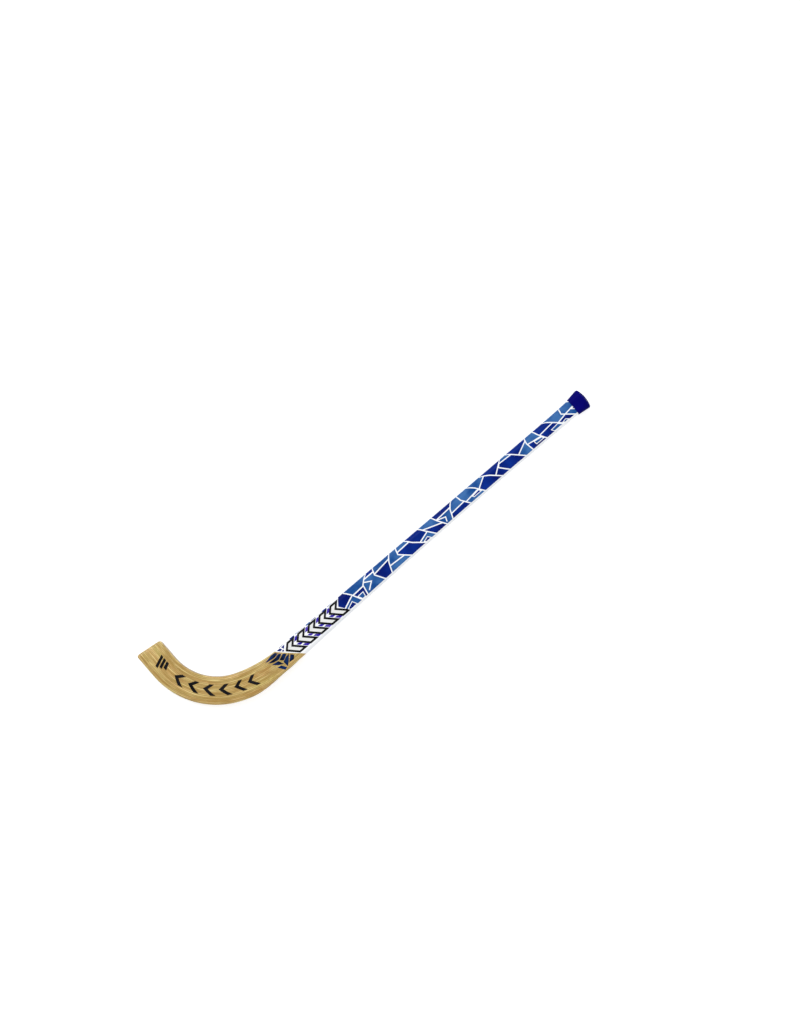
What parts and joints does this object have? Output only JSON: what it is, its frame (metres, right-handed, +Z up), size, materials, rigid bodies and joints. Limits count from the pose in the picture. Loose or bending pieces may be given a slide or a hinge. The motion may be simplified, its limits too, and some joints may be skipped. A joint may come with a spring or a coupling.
{
  "type": "mini hockey stick",
  "caption": "Small bent hockey stick of laminated wood, with a curved hooked blade, a printed film sleeve round the shaft and a flared cap on the butt.",
  "frame": {"origin": "under the middle of the stick's outline as it lies flat on its broad side, at its lowest level, which is the underside of the butt cap", "axes": "+X along the straight shaft towards the butt, +Y towards the hollow side of the blade, +Z up through the stick's thickness"},
  "size_m": [0.5992, 0.1282, 0.0198],
  "materials": {
    "wood_pale": "clear varnish",
    "wood_middle": "clear varnish",
    "wood_deep": "clear varnish",
    "printed_film": "satin printed film, the mean colour of its white ground and blue print",
    "navy_moulding": "smooth satin moulding"
  },
  "bodies": {
    "root": {"veneer_01": "wood_pale", "veneer_02": "wood_middle", "veneer_03": "wood_deep", "veneer_04": "wood_pale", "veneer_05": "wood_middle", "veneer_06": "wood_deep", "veneer_07": "wood_pale", "veneer_08": "wood_deep", "veneer_09": "wood_pale", "veneer_10": "wood_middle", "veneer_11": "wood_deep", "veneer_12": "wood_pale", "veneer_13": "wood_middle", "veneer_14": "wood_deep", "veneer_15": "wood_middle", "veneer_16": "wood_deep", "veneer_17": "wood_pale", "veneer_18": "wood_middle", "veneer_19": "wood_deep", "printed_sleeve": "printed_film", "butt_cap": "navy_moulding"}
  },
  "joints": []
}
